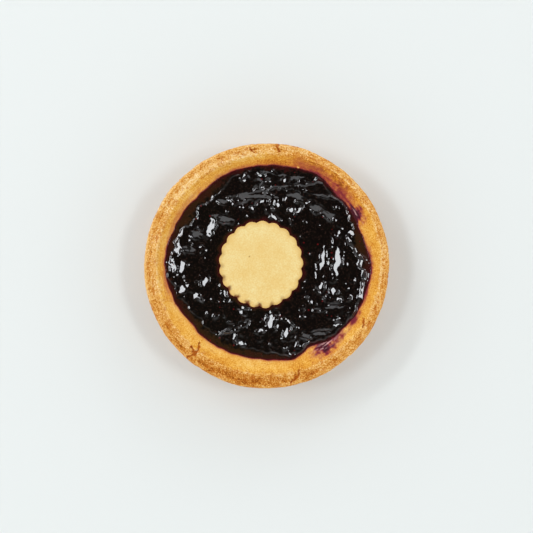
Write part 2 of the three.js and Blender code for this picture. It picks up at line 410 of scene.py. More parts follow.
SWIRL_RADIUS = 33                       # where a swirl has its full length
TOUCH_REACH = 0.6                       # how far out the crust is dark with the jam that touches it
TINGE_REACH = 2.2                       # how far out it is faintly red


def swirl(angles, radii, across, along, seed):
    """Noise drawn out round the tart, as jam is spread: across and along are its sizes in mm."""
    turn = np.radians(angles)
    wound = [SWIRL_RADIUS / along * np.cos(turn), SWIRL_RADIUS / along * np.sin(turn), radii / across]
    return grain(np.stack(wound, 1), 1, seed)


def soaked_at(angles, radii, spots):
    """0 to 1: how much jam has soaked into the crust at each spot, with a ragged edge."""
    ragged = 0.35 * grain(spots, 2.4, 3) + 0.25 * grain(spots, 0.9, 4)
    ragged += 0.35 * swirl(angles, radii, 0.9, 5, 5)
    most = np.zeros(len(spots))
    for middle, reach, around, out, strength in SOAKED:
        away = (angles - middle + 180) % 360 - 180
        far = np.hypot(away / around, (radii - reach) / out)
        most = np.maximum(most, strength * (1 - smooth(far + ragged, 0.1, 1.7)))
    away = np.maximum(radii - jam_edge(angles), 0)
    touching = (0.95 + 0.5 * ragged) * np.exp(-away / TOUCH_REACH)
    tinged = (0.16 + 0.1 * ragged) * np.exp(-away / TINGE_REACH) * smooth(away, 12, 0)
    return np.maximum(np.maximum(most, touching), tinged)


def browned_at(angles, radii):
    """How much browner the crust is at each spot than the crust round it."""
    return sum(more * lobe(angles, middle, around) * np.exp(-(((radii - reach) / across) ** 2))
               for middle, reach, around, across, more in BROWNED)


def painted_glints_at(angles, radii):
    """0 to 1: where pale streaks of painted highlight lie on the wet jam on the crust."""
    streaks = smooth(swirl(angles, radii, 0.6, 3, 18), 0.08, 0.35)
    most = np.zeros(len(angles))
    for middle, reach, around, out in PAINTED_GLINTS:
        most = np.maximum(most, lobe(angles, middle, around) * np.exp(-(((radii - reach) / out) ** 2)))
    return most * streaks


# How rough each part of the case is, and how brown, from 0 to 1.
ROUGH = {"base": 0.5, "wall": 0.8, "shoulder": 1, "rim": 1, "slope": 0.6, "well": 0}
TOAST = {"base": 0.5, "wall": 0.55, "shoulder": 0.5, "rim": 0.4, "slope": 0.4, "well": 0.4}
FLOURED_RADIUS = 51.2                   # the back left of the rim is palest here
PALE_SLOPE = [(125, 40, 0.08), (320, 10, 0.28), (180, 35, 0.08)]    # angle, how far round, how much


def toast_and_painted_light_at(spots, angles, radii, on_rim, golden, torn):
    """How much browner the crust is at each spot than its part of the case usually is, with painted light
    and shade along the ridge and on the slope.
    """
    toast_and_painted_light = 0.04 + 0.12 * grain(spots, 9, 8) + 0.1 * grain(spots, 2.6, 9) + 0.1 * grain(spots, 12, 14)

    # The front of the flat rim is browned in a band, and mottled.
    front = 0.22 * lobe(angles, 266, 34) + 0.05 * lobe(angles, 215, 16)
    band = smooth(radii, 48.8, 50.9) * (1 - 0.8 * smooth(radii, 52.8, 54.2))
    toast_and_painted_light += front * on_rim * (1 - 0.7 * golden) * band
    toast_and_painted_light += 0.18 * grain(spots, 2.2, 19) * lobe(angles, 268, 60) * on_rim

    # The slope is browner at the back, most of all where it is torn, and paler elsewhere. The browner back
    # and paler front are partly the crust's own colour and partly painted shade and painted light: the back
    # of the slope is turned away from the lights behind the tart, and the front towards them.
    down = smooth(ridge_radius(angles) - radii, 0.5, 5)
    toast_and_painted_light += 0.24 * torn * (1 + 1.5 * grain(spots, 1.3, 11))
    toast_and_painted_light += 0.24 * lobe(angles, 80, 26) * golden * down
    pale = 0.08 * lobe(angles, 240, 60) * down + 0.12 * lobe(angles, 120, 18) * smooth(radii, 47, 49)
    toast_and_painted_light -= (pale + lobes(angles, PALE_SLOPE)) * golden

    # The back left of the rim is pale. A thin line along the ridge is painted paler, a painted highlight
    # where the ridge catches the light, and near 74 degrees painted darker, a painted shadow under the
    # ridge.
    floured = np.exp(-(((radii - FLOURED_RADIUS) / 1.3) ** 2)) * lobe(angles, 125, 42)
    toast_and_painted_light -= 0.16 * floured * on_rim * (1 - golden)
    ridge = np.exp(-(((ridge_radius(angles) - radii - 0.3 * grain(spots, 3, 17)) / 0.55) ** 2))
    toast_and_painted_light -= (0.12 + 0.07 * lobe(angles, 45, 12) - 0.2 * lobe(angles, 74, 10)) * ridge
    return toast_and_painted_light


def cut_finer(form):
    """Cuts the faces along the cracks finer, so that the cracks come out crisp."""
    centres = np.array([face.calc_center_median() for face in form.faces])
    cracked = (crack_distance(centres) < CRACK_REACH) & (centres[:, 2] > SLOPE_BOTTOM)
    edges = dict.fromkeys(edge for face, near in zip(form.faces, cracked) if near for edge in face.edges)
    bmesh.ops.subdivide_edges(form, edges=list(edges), cuts=2, use_grid_fill=True)
    form.normal_update()


def crease_at(spots, radii):
    """0 to 1: a faint broken crease where the dough was folded over the tin."""
    along = np.exp(-(((radii - CREASE_RADIUS - 0.6 * grain(spots, 6, 12)) / 0.4) ** 2))
    return along * smooth(grain(spots, 3.5, 13), -0.15, 0.3)


def holes_at(spots, angles, radii):
    """0 to 1: small holes, drawn out round the rim as the dough was pressed."""
    return smooth(0.6 * swirl(angles, radii, 0.75, 2.4, 6) + 0.5 * grain(spots, 1.2, 6), 0.3, 0.5)


def cracks_at(spots, on_top):
    """How far down a crack each spot is, and how far up on the lip beside one, both from 0 to 1."""
    shaky = spots + 0.6 * np.stack([grain(spots, 1.4, 15), grain(spots, 1.4, 16), 0 * spots[:, 0]], 1)
    away = np.where(on_top, crack_distance(shaky) + 0.4 * grain(spots, 1.1, 7), FAR)
    return 1 - smooth(away, 0.05, CRACK_WIDTH), np.exp(-(((away - 0.85) / 0.4) ** 2))


def shape_crust():
    rows = crust_rows()
    form = turned(rows, TURN_STEPS)
    cut_finer(form)
    spots, angles, radii = measured(form)
    on_rim = part_values(form, rows, {"shoulder": 1, "rim": 1})
    on_slope = part_values(form, rows, {"slope": 1, "well": 1})
    on_top = on_rim + on_slope
    torn = lobe(angles, 50, 22) * on_slope * smooth(radii, 43, 46)
    rough = part_values(form, rows, ROUGH) + 1.6 * torn
    crease = crease_at(spots, radii) * on_rim
    holes = holes_at(spots, angles, radii) * rough
    gape, lip = cracks_at(spots, on_top > 0)
    crumb = np.exp(-((spots[:, :2] - CRUMB) ** 2).sum(1) / CRUMB_SIZE ** 2) * on_slope

    bumps = 0.14 * grain(spots, 5, 1) + rough * (0.13 * grain(spots, 2.2, 2) + 0.13 * grain(spots, 0.95, 5))
    off_base = smooth(spots[:, 2], 0.2, 2)
    move = (bumps - CREASE_DEPTH * crease - HOLE_DEPTH * holes) * off_base
    move += LIP_HEIGHT * lip - CRACK_DEPTH * gape + CRUMB_HEIGHT * crumb
    normals = np.array([vert.normal for vert in form.verts])

    inside = ridge_radius(angles) - radii + 1.4 * grain(spots, 1.6, 10)
    golden = smooth(inside, -0.4, 1.4) * on_top
    toast_and_painted_light = part_values(form, rows, TOAST) + toast_and_painted_light_at(spots, angles, radii, on_rim, golden, torn)
    toast_and_painted_light += (browned_at(angles, radii) - 0.08 * smooth(radii, 53.2, 54.2)) * on_top
    # The crease is painted browner, as painted shade in it; the crumb is painted paler.
    paint(form, "toast_and_painted_light", toast_and_painted_light + 0.2 * crease - 0.7 * crumb)
    paint(form, "golden", golden)
    paint(form, "painted_glint", painted_glints_at(angles, radii))
    # Holes and cracks are painted darker through this, as painted shade in them.
    paint(form, "pit", np.maximum(0.55 * holes, 0.95 * gape))
    inner = smooth(spots[:, 2], SLOPE_BOTTOM - 1, SLOPE_BOTTOM + 1)
    paint(form, "soaked", soaked_at(angles, radii, spots) * inner * (1 - crumb))
    move_to(form, spots + normals * move[:, None])
    return form


def finished(name, form, material, node):
    """Scales a form to metres, makes it a smooth mesh and sets it in place of its node."""
    bmesh.ops.scale(form, vec=(MM, MM, MM), verts=form.verts)
    for face in form.faces:
        face.smooth = True
    mesh = bpy.data.meshes.new(name)
    form.to_mesh(mesh)
    form.free()
    mesh.materials.append(material)
    item = put(name, mesh)
    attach(item, "root")
    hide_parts(node)


# Shortcrust, baked: dry, matt and sandy, pale inside the grain and brown on what stood out in the oven.
shortcrust, tree = new_material("baked_shortcrust")
spot = add(tree, "TexCoord").outputs["Object"]
toast_and_painted_light = add(tree, "Attribute", attribute_name="toast_and_painted_light").outputs["Fac"]
golden = add(tree, "Attribute", attribute_name="golden").outputs["Fac"]
soaked = add(tree, "Attribute", attribute_name="soaked").outputs["Fac"]
painted_glint = add(tree, "Attribute", attribute_name="painted_glint").outputs["Fac"]
pit = add(tree, "Attribute", attribute_name="pit").outputs["Fac"]
MOTTLE = 0.65 * MM                      # the mottled spots of the crumb
SAND = 0.33 * MM                        # single grains of sugar and flour
SAND_RELIEF = 0.14 * MM
mottle = add(tree, "TexNoise", {"Vector": spot, "Scale": 1 / MOTTLE, "Detail": 2.0, "Roughness": 0.6})
sand = add(tree, "TexNoise", {"Vector": spot, "Scale": 1 / SAND, "Detail": 1.0})
uneven = add(tree, "MapRange", {"Value": mottle.outputs["Fac"], "From Min": 0.3, "From Max": 0.7,
                                "To Min": -0.24, "To Max": 0.24})
sandy = add(tree, "MapRange", {"Value": sand.outputs["Fac"], "From Min": 0.3, "From Max": 0.7,
                               "To Min": -0.24, "To Max": 0.24})
grainy = add(tree, "Math", {0: uneven.outputs["Result"], 1: sandy.outputs["Result"]}, operation="ADD")
sandiness = add(tree, "MapRange", {"Value": golden, "To Min": 1.0, "To Max": 0.7})
# The toast attribute also carries painted light and shade: a highlight and shadow along the ridge, shade in
# the crease, and shade and light on the slope.
browning_and_painted_light = add(tree, "Math", {0: grainy.outputs["Value"], 1: sandiness.outputs["Result"], 2: toast_and_painted_light},
            operation="MULTIPLY_ADD", use_clamp=True).outputs["Value"]
on_rim = add(tree, "ValToRGB", {"Fac": browning_and_painted_light}, stops=[
    (0.0, "#ead1a0"), (0.3, "#dcac65"), (0.5, "#cd913c"), (0.7, "#b46816"), (0.85, "#984c09"),
    (1.0, "#6e3404")]).outputs["Color"]
on_slope = add(tree, "ValToRGB", {"Fac": browning_and_painted_light}, stops=[
    (0.0, "#e8c880"), (0.3, "#dfaa4c"), (0.5, "#d18f2c"), (0.7, "#b56712"), (0.85, "#924907"),
    (1.0, "#683004")]).outputs["Color"]
skin = add(tree, "Mix", {0: golden, 6: on_rim, 7: on_slope}, data_type="RGBA").outputs[2]

# Hairline cracks, in patches, where the skin of the dough dried before the inside.
CRACKLE = 2.4 * MM                      # from one crack to the next
CRACKLE_BEND = 3.0 * MM                 # how far a crack strays from a straight line
BEND_SIZE = 1.3 * MM
DRY_PATCH = 4 * MM
bend = add(tree, "TexNoise", {"Vector": spot, "Scale": 1 / BEND_SIZE, "Detail": 1.0})
bend = add(tree, "VectorMath", {0: bend.outputs["Color"], 1: (0.5, 0.5, 0.5)}, operation="SUBTRACT")
bend = add(tree, "VectorMath", {0: bend.outputs["Vector"], 1: [CRACKLE_BEND] * 3, 2: spot},
           operation="MULTIPLY_ADD")
cells = add(tree, "TexVoronoi", {"Vector": bend.outputs["Vector"], "Scale": 1 / CRACKLE},
            feature="DISTANCE_TO_EDGE")
hair = add(tree, "MapRange", {"Value": cells.outputs["Distance"], "From Min": 0.02, "From Max": 0.1,
                              "To Min": 0.8, "To Max": 0.0})
patch = add(tree, "TexNoise", {"Vector": spot, "Scale": 1 / DRY_PATCH, "Detail": 2.0})
patch = add(tree, "MapRange", {"Value": patch.outputs["Fac"], "From Min": 0.52, "From Max": 0.62})
dry = add(tree, "MapRange", {"Value": golden, "To Min": 1.0, "To Max": 0.25}).outputs["Result"]
dry = add(tree, "Math", {0: dry, 1: patch.outputs["Result"]}, operation="MULTIPLY").outputs["Value"]
hair = add(tree, "Math", {0: hair.outputs["Result"], 1: dry}, operation="MULTIPLY")
opened = add(tree, "Math", {0: hair.outputs["Value"], 1: pit}, operation="MAXIMUM").outputs["Value"]
# Cracks, hairlines and holes are painted a darker orange brown: painted shade in them.
inside = add(tree, "ValToRGB", {"Fac": opened}, stops=[
    (0.3, "#b9671a"), (0.7, "#b05c10"), (1.0, "#a4500a")]).outputs["Color"]
cracked = add(tree, "Mix", {0: opened, 6: skin, 7: inside}, data_type="RGBA").outputs[2]

# Where jam has soaked in, the crust is red to dark purple, and shines where it is wettest, where pale pink
# streaks of painted highlight are also laid on it.
wet = add(tree, "ValToRGB", {"Fac": soaked}, stops=[
    (0.0, "#c8824a"), (0.3, "#b2603c"), (0.55, "#9a4034"), (0.8, "#6c1c2a"),
    (1.0, "#400a1a")]).outputs["Color"]
wet_share = add(tree, "MapRange", {"Value": soaked, "From Min": 0.0, "From Max": 0.7})
surface = add(tree, "Mix", {0: wet_share.outputs["Result"], 6: cracked, 7: wet}, data_type="RGBA")
# A pale pink painted highlight in streaks, for wet jam that catches the light.
surface = add(tree, "Mix", {0: painted_glint, 6: surface.outputs[2], 7: colour("#dba6a2")}, data_type="RGBA")
shine = add(tree, "MapRange", {"Value": soaked, "From Min": 0.7, "From Max": 1.0, "To Min": 0.8,
                               "To Max": 0.15})
raised = add(tree, "Math", {0: sand.outputs["Fac"], 1: opened}, operation="SUBTRACT").outputs["Value"]
bumps = add(tree, "Bump", {"Height": raised, "Strength": 0.6, "Distance": SAND_RELIEF})
crust_shader = add(tree, "BsdfPrincipled", {"Base Color": surface.outputs[2], "Specular IOR Level": 0.12,
                                            "Roughness": shine.outputs["Result"],
                                            "Normal": bumps.outputs["Normal"]})
add(tree, "OutputMaterial", {"Surface": crust_shader.outputs["BSDF"]})

finished("baked_crust", shape_crust(), shortcrust, "crust")


# ---- Biscuit ----
# A flat biscuit stamped with a scalloped cutter and laid on the jam while it was warm. Its face is
# smooth and pale, its edge is a little darker, and jam has crept up between the front scallops.
BISCUIT_RADIUS = 18.9
SCALLOPS = 21
SCALLOP_DEPTH = 0.95
SCALLOP_TURN = 2                        # degrees from +X to the top of the first scallop
SCALLOP_MEAN = 0.64                     # the usual height of the outline between notch and top
BISCUIT_THICK = 4
BISCUIT_EDGE = 0.5                      # rounding of its edges
BISCUIT_MIDDLE = Vector((-2.5, 0.8, 19.3))      # of its underside
BISCUIT_LEAN = {"X": 1.1, "Y": 0.4}     # degrees about each axis
BISCUIT_STEPS = SCALLOPS * 16           # a whole number of steps in each sector


def scallop(angle):
    """1 at the top of each scallop, down to 0 in the notch beside it."""
    return np.abs(np.cos(np.radians(SCALLOPS * (angle - SCALLOP_TURN) / 2)))


def biscuit_outline(angle):
    """Radius of the cut edge: broad round scallops with narrow notches between them."""
    around = 0.3 * wave(angle, 2, 95) + 0.35 * lobe(angle, 278, 9)
    return BISCUIT_RADIUS + around + SCALLOP_DEPTH * (scallop(angle) - SCALLOP_MEAN)


def edge_point(angle, inset, height):
    return biscuit_outline(angle) - inset, height


def face_point(angle, share, height):
    """A row of a flat face: the scallops fade towards the middle."""
    reach = lerp(BISCUIT_RADIUS, biscuit_outline(angle), smooth(share, 0.8, 1))
    return (reach - BISCUIT_EDGE) * share, height


def biscuit_rows():
    rows = [("face", face_point, share, 0) for share in (0, 0.5, 0.85)]
    rounding = [share * math.pi / 2 for share in [0] + shares(4)]
    for turn in rounding:
        inset, height = BISCUIT_EDGE * (1 - math.sin(turn)), BISCUIT_EDGE * (1 - math.cos(turn))
        rows.append(("edge", edge_point, inset, height))
    side = BISCUIT_THICK - 2 * BISCUIT_EDGE
    rows += [("edge", edge_point, 0, BISCUIT_EDGE + side * share) for share in shares(6)[:-1]]
    for turn in rounding:
        inset, height = BISCUIT_EDGE * (1 - math.cos(turn)), BISCUIT_EDGE * (1 - math.sin(turn))
        rows.append(("edge", edge_point, inset, BISCUIT_THICK - height))
    rows += [("face", face_point, share, BISCUIT_THICK) for share in reversed([0] + shares(30)[:-1])]
    return rows


def shape_biscuit():
    form = turned(biscuit_rows(), BISCUIT_STEPS)
    spots, angles, radii = measured(form)
    normals = np.array([vert.normal for vert in form.verts])
    inset = biscuit_outline(angles) - radii
    paint(form, "edge", 1 - smooth(inset + 0.4 * grain(spots, 3, 2), 0, 2.2))
    notched = smooth(1 - scallop(angles) + 0.5 * grain(spots, 1.5, 4), 0.15, 0.7)
    front = np.minimum(1.3 * lobe(angles, 243, 50) * notched, 1)
    paint(form, "wet", front * (1 - smooth(inset + 0.8 * grain(spots, 1.2, 5), 0.5, 2.1)))
    uneven = 0.05 * grain(spots, 4, 1) + 0.02 * grain(spots, 1.1, 3)
    move_to(form, spots + normals * uneven[:, None])
    for axis, lean in BISCUIT_LEAN.items():
        turn = Matrix.Rotation(math.radians(lean), 3, axis)
        bmesh.ops.rotate(form, cent=(0, 0, 0), matrix=turn, verts=form.verts)
    bmesh.ops.translate(form, vec=BISCUIT_MIDDLE, verts=form.verts)
    return form


# Biscuit dough baked pale: fine even crumb, matt, a touch darker where it is thin.
biscuit_dough, tree = new_material("pale_baked_biscuit")
spot = add(tree, "TexCoord").outputs["Object"]
edge = add(tree, "Attribute", attribute_name="edge").outputs["Fac"]
wet = add(tree, "Attribute", attribute_name="wet").outputs["Fac"]
FINE_CRUMB = 0.6 * MM                   # from one crumb to the next
FINE_RELIEF = 0.06 * MM
CLOUD = 7 * MM                          # slow change from paler to browner
crumb = add(tree, "TexNoise", {"Vector": spot, "Scale": 1 / FINE_CRUMB, "Detail": 2.0})
cloud = add(tree, "TexNoise", {"Vector": spot, "Scale": 1 / CLOUD, "Detail": 2.0})
tone = add(tree, "MapRange", {"Value": crumb.outputs["Fac"], "From Min": 0.25, "From Max": 0.75,
                              "To Min": -0.3, "To Max": 0.3})
tint = add(tree, "MapRange", {"Value": cloud.outputs["Fac"], "From Min": 0.3, "From Max": 0.7,
                              "To Min": 0.25, "To Max": 0.55})
both = add(tree, "Math", {0: tone.outputs["Result"], 1: tint.outputs["Result"]}, operation="ADD")
face = add(tree, "ValToRGB", {"Fac": both.outputs["Value"]}, stops=[
    (0.0, "#e0cd92"), (0.5, "#dab972"), (1.0, "#d1a755")]).outputs["Color"]
edged = add(tree, "Mix", {0: edge, 6: face, 7: colour("#cfa961")}, data_type="RGBA")

# One small hole in the face, painted as a dark brown spot of painted shade, as no hole is cut in the face.
PINHOLE = Vector((-7.7, 4.2, BISCUIT_MIDDLE.z + BISCUIT_THICK)) * MM
PINHOLE_RADIUS = 0.5 * MM
from_hole = add(tree, "VectorMath", {0: spot, 1: PINHOLE}, operation="DISTANCE").outputs["Value"]
painted_hole_shade = add(tree, "MapRange", {"Value": from_hole, "From Min": 0.3 * PINHOLE_RADIUS,
                              "From Max": PINHOLE_RADIUS, "To Min": 0.75, "To Max": 0.0}).outputs["Result"]
with_hole_shade = add(tree, "Mix", {0: painted_hole_shade, 6: edged.outputs[2], 7: colour("#8f6424")}, data_type="RGBA")
stained = add(tree, "Mix", {0: wet, 6: with_hole_shade.outputs[2], 7: colour("#6c380e")}, data_type="RGBA")
bumps = add(tree, "Bump", {"Height": crumb.outputs["Fac"], "Strength": 0.3, "Distance": FINE_RELIEF})
biscuit_shader = add(tree, "BsdfPrincipled", {"Base Color": stained.outputs[2], "Roughness": 0.7,
                                              "Specular IOR Level": 0.35,
                                              "Normal": bumps.outputs["Normal"]})
add(tree, "OutputMaterial", {"Surface": biscuit_shader.outputs["BSDF"]})

finished("scalloped_biscuit", shape_biscuit(), biscuit_dough, "biscuit")


# ---- Filling ----
# Dark berry jam, set to a soft wet mass with pieces of fruit in it. It thins to a flat brown margin at
# the crust and round the biscuit, and its thick part ends in a low uneven edge.
JAM_GAP = 0.3                           # over the floor of the well, and into the biscuit's underside
JAM_INTO_CRUST = 0.2                    # how far the skin reaches into the crust
JAM_UNDER_BISCUIT = 0.8                 # and in under the biscuit's edge
JAM_SWELL = 0.75                        # the thick jam over its thin margin
SWELL_FROM_CRUST = 9                    # how far in from the margin it has risen by that
SWELL_FROM_BISCUIT = 8
MARGIN = 0.9                            # width of the thin margin
# Where that is wider or narrower: angle, how far round in degrees, and by how much in mm.
MARGIN_LOBES = [(14, 12, 4.2), (0, 6, 1.4), (45, 15, -0.4), (88, 8, 0.6), (112, 8, 1.4),
                (128, 11, 3.8), (148, 9, 4.4), (168, 11, 2.2), (208, 12, 2.4), (232, 14, 2.8),
                (262, 16, 3.2), (345, 16, 0.5)]
EDGE_STEP = 0.35                        # height of the thick part's edge
STEP_LOBES = [(85, 35, -0.27), (240, 45, -0.2)]     # where it is lower
EDGE_ROUND = 1.3                        # width of its rounded side
# Where the thin jam is brown and not wine red: angle, how far round in degrees, and how much.
OLIVE_LOBES = [(143, 22, 0.9), (236, 45, 1.0), (14, 14, 0.7)]
JAM_ROWS = 92                           # from the crust in to the biscuit, about 0.28 mm each
JAM_STEPS = 840

FOLD_EVEN = 0.8                         # the share of a fold's face that is even
FOLD_FADE = 0.5                         # how softly every fold ends
FOLD_SOFTER = 0.45                      # how much more softly a wide one does
# Folds with an even face that catches a panel: the middle of each face, x and y, the turn of its long
# side in degrees, its half length and its half width.
LIT_FROM_LEFT = [
    (-25.4, 16.8, 60, 3.9, 1.1), (-39.1, 7.4, 80, 1.7, 1.3), (-34.6, 10.7, 80, 1.9, 0.6),
    (-10.3, 38.3, 20, 0.8, 0.7), (-0.7, 35.7, 55, 1.8, 0.9), (-2.3, 29.1, 45, 1.3, 0.7),
    (-5.8, 26.0, 60, 0.8, 0.6), (-24.5, 30.9, 0, 0.6, 0.6), (25.0, 2.6, 78, 6.2, 1.15),
    (25.9, -4.2, 75, 1.6, 0.9), (3.3, 28.8, 40, 1.0, 0.6), (8.5, 30.1, 80, 0.9, 0.6),
    (-38, -10.6, 20, 1.6, 1.5), (-35.6, -8.7, 0, 0.7, 0.6), (-42.1, 0.2, -60, 1.9, 0.8),
    (-38.2, -0.6, 60, 1.6, 0.8), (2.0, -25.2, 75, 2.8, 1.2), (-0.9, -23.6, 60, 1.0, 0.9),
    (5.0, -27.2, 0, 0.7, 0.6), (14.3, -31.8, 0, 0.8, 0.5), (-14.8, -30.6, -78, 2.1, 0.8),
    (-11.6, -34.6, 0, 0.8, 0.6), (20.3, -16.1, -55, 1.3, 0.7), (24.0, -9.0, 85, 1.2, 0.7),
    (-27.4, -6.8, 60, 1.3, 0.5), (-32, -13.6, -35, 1.3, 0.5), (-18.9, -12.4, 0, 0.7, 0.6),
    (-3.4, 41.3, -15, 1.0, 0.5), (-40.4, 9.1, 73, 1.4, 0.22), (-39.2, 13.2, 62, 1.4, 0.22),
    (20.6, -20.2, 0, 0.6, 0.5), (31.6, 26.5, 0, 0.8, 0.7), (-9.7, 39.8, 0, 0.7, 0.5),
    (12.8, -34.9, 70, 1.4, 0.4),
]
LIT_FROM_RIGHT = [
    (31.6, 2.0, 82, 5.0, 1.3), (35.6, 13.0, -50, 2.6, 0.8), (37.4, 14.6, 10, 1.6, 0.7),
    (33.2, 13.9, -65, 1.8, 0.7), (29.8, -10.9, 88, 1.3, 0.8), (14.3, 24.9, 55, 1.0, 0.4),
    (38.9, -19.8, 50, 1.6, 0.4), (40.2, 6.7, -45, 2.2, 0.35), (42.2, 2.0, 85, 1.9, 0.4),
    (43.0, -3.2, -50, 1.5, 0.3), (43.6, -7.8, 75, 1.9, 0.3), (41.9, -13.8, 70, 2.6, 0.3),
    (40.2, -18.0, 70, 1.4, 0.3), (9.1, -30.3, 78, 1.9, 1.2), (31.1, -26.8, 25, 1.2, 0.8),
    (9.6, -24.9, -35, 1.2, 0.6), (32.6, -15.4, 25, 1.0, 0.5), (5.3, 27.5, -60, 0.9, 0.6),
    (8.2, 38.3, 0, 0.7, 0.5), (15.8, 34.4, -70, 1.0, 0.4), (-11.4, -21, -15, 1.1, 0.6),
    (-11, -18.4, -40, 0.9, 0.5), (-2.9, -29.3, 0, 0.9, 0.5), (-16.6, -16.2, 40, 0.9, 0.6),
    (11.2, 24.8, 60, 0.8, 0.5), (3.0, 22.4, -40, 1.4, 0.4), (24.7, -20.3, 0, 0.7, 0.5),
    (18.8, -34, 60, 1.1, 0.4), (15.6, -36.6, 0, 0.8, 0.5), (11.0, -39.6, 20, 0.8, 0.5),
    (-9.9, -25.8, 0, 0.7, 0.4), (25.8, -36.0, 15, 2.2, 0.5),
]
LIT_FROM_BACK = [
    (-6.4, 32.0, 18, 5.0, 1.6), (1.0, 31.0, -10, 2.4, 0.7), (-19.6, 21.5, -8, 3.2, 1.3),
    (-30.7, 13.6, -25, 2.8, 1.7), (-19.6, 29.4, -5, 1.4, 0.7), (-34.5, 8.0, 0, 2.1, 1.9),
    (14.0, 31.2, -18, 4.0, 1.5), (22.6, 32.2, -16, 3.4, 0.4), (21.6, 26.2, -28, 3.4, 1.4),
    (27.8, 23.1, -30, 2.4, 1.5), (10.5, 35.8, 10, 4.2, 0.3), (5.6, 41.0, -8, 3.2, 0.2),
    (28.5, -18.9, 10, 3.0, 0.6), (19.9, -31, 10, 4.2, 0.6), (-14, -27.6, 25, 2.7, 0.45),
    (-17.2, -24.5, -35, 1.2, 0.4),
]


def facet(place, ragged, middle_x, middle_y, turn, long, wide, azimuth, lean):
    """A face that mirrors what stands at an azimuth and a lean, and fades into the jam round it: how far
    it covers each spot, from 0 to 1, and its rise there over its own middle."""
    middle = np.array((middle_x, middle_y))
    along = (ragged - middle) @ polar(turn, 1) / long
    across = (ragged - middle) @ polar(turn + 90, 1) / wide
    outside = np.maximum(np.hypot(along, across) - FOLD_EVEN, 0) * wide
    cover = np.exp(-((outside / (FOLD_FADE + FOLD_SOFTER * wide)) ** 2))
    return cover, -math.tan(math.radians(lean / 2)) * ((place - middle) @ polar(azimuth, 1))


def folds_at(place, ragged):
    """How far the folds cover each spot, and their height there."""
    cover = np.zeros(len(place))
    height = np.zeros(len(place))
    for folds, towards in ((LIT_FROM_LEFT, LEFT), (LIT_FROM_RIGHT, RIGHT), (LIT_FROM_BACK, BACK)):
        for fold in folds:
            share, rise = facet(place, ragged, *fold, **towards)
            cover += share
            height += share * (rise + jam_lie(np.array([fold[:2]]))[2][0])
    return np.minimum(cover, 1), height / np.maximum(cover, 1)


def biscuit_gap(spots):
    """How far each spot is outside the biscuit's edge."""
    away = spots - np.array(BISCUIT_MIDDLE.xy)
    angles = np.degrees(np.arctan2(away[:, 1], away[:, 0])) % 360
    return np.hypot(away[:, 0], away[:, 1]) - biscuit_outline(angles)


# How restless the skin is: the middle, x and y, and the reach of each area, and what it adds to the
# usual 1.
RESTLESS = [(26, -15, 10, 0.8), (-36, 4, 7, 0.2), (24, 13, 8, -0.8), (-24, -20, 10, -0.6),
            (18, 34, 9, -0.15), (6, -31, 9, 0.5), (8, 26, 7, 0.15)]
MOST_RESTLESS = 1.8                     # where it is this restless, no small lump is left out
PIPS = 460                              # small lumps of fruit under the skin
PIP_SEED = 4
PIP_RING = (19, 43)                     # the radii between which they lie
PIP_SIZES = (0.4, 0.95)                 # half their width
PIP_LONGER = 1.5                        # their length for their width
PIP_SLOPES = (0.2, 0.34)                # their height for half their width


def restless_at(place):
    return 1 + sum(more * np.exp(-((place - (x, y)) ** 2).sum(1) / reach ** 2)
                   for x, y, reach, more in RESTLESS)


def pips_at(place):
    """Height that the small lumps of fruit add at each spot."""
    draw = np.random.default_rng(PIP_SEED)
    bearings = draw.uniform(0, 360, PIPS)
    reaches = np.sqrt(draw.uniform(PIP_RING[0] ** 2, PIP_RING[1] ** 2, PIPS))
    middles = np.array([polar(bearing, reach) for bearing, reach in zip(bearings, reaches)])
    kept = draw.uniform(0, MOST_RESTLESS, PIPS) < restless_at(middles)
    turns = draw.uniform(0, 180, PIPS)
    sizes = draw.uniform(*PIP_SIZES, PIPS)
    slopes = draw.uniform(*PIP_SLOPES, PIPS) * kept
    height = np.zeros(len(place))
    for middle, turn, size, slope in zip(middles, turns, sizes, slopes):
        away = place - middle
        near = np.abs(away).max(1) < 3 * size
        along = away[near] @ polar(turn, 1) / (PIP_LONGER * size)
        across = away[near] @ polar(turn + 90, 1) / size
        height[near] += slope * size * np.exp(-along ** 2 - across ** 2)
    return height


def jam_lie(place):
    """How the jam lies at each spot: the width of its thin margin there, how far the spot is up on the
    thick part, from 0 to 1, and the height of its skin without its lumps."""
    flat = np.column_stack([place, np.zeros(len(place))])
    angles = np.degrees(np.arctan2(place[:, 1], place[:, 0])) % 360
    from_crust = jam_edge(angles) - np.hypot(place[:, 0], place[:, 1])
    margin = np.maximum(MARGIN + lobes(angles, MARGIN_LOBES) + 1.6 * grain(flat, 4, 8), 0.5)
    onto = np.clip((from_crust + 0.5 * grain(flat, 1.7, 12) - margin) / EDGE_ROUND, 0, 1)
    mass = onto * (2 - onto)
    step = EDGE_STEP + lobes(angles, STEP_LOBES)
    dome = smooth(from_crust, margin, margin + SWELL_FROM_CRUST)
    dome *= smooth(biscuit_gap(place), 0, SWELL_FROM_BISCUIT)
    return margin, mass, JAM_LEVEL + step * mass + (JAM_SWELL - step) * dome


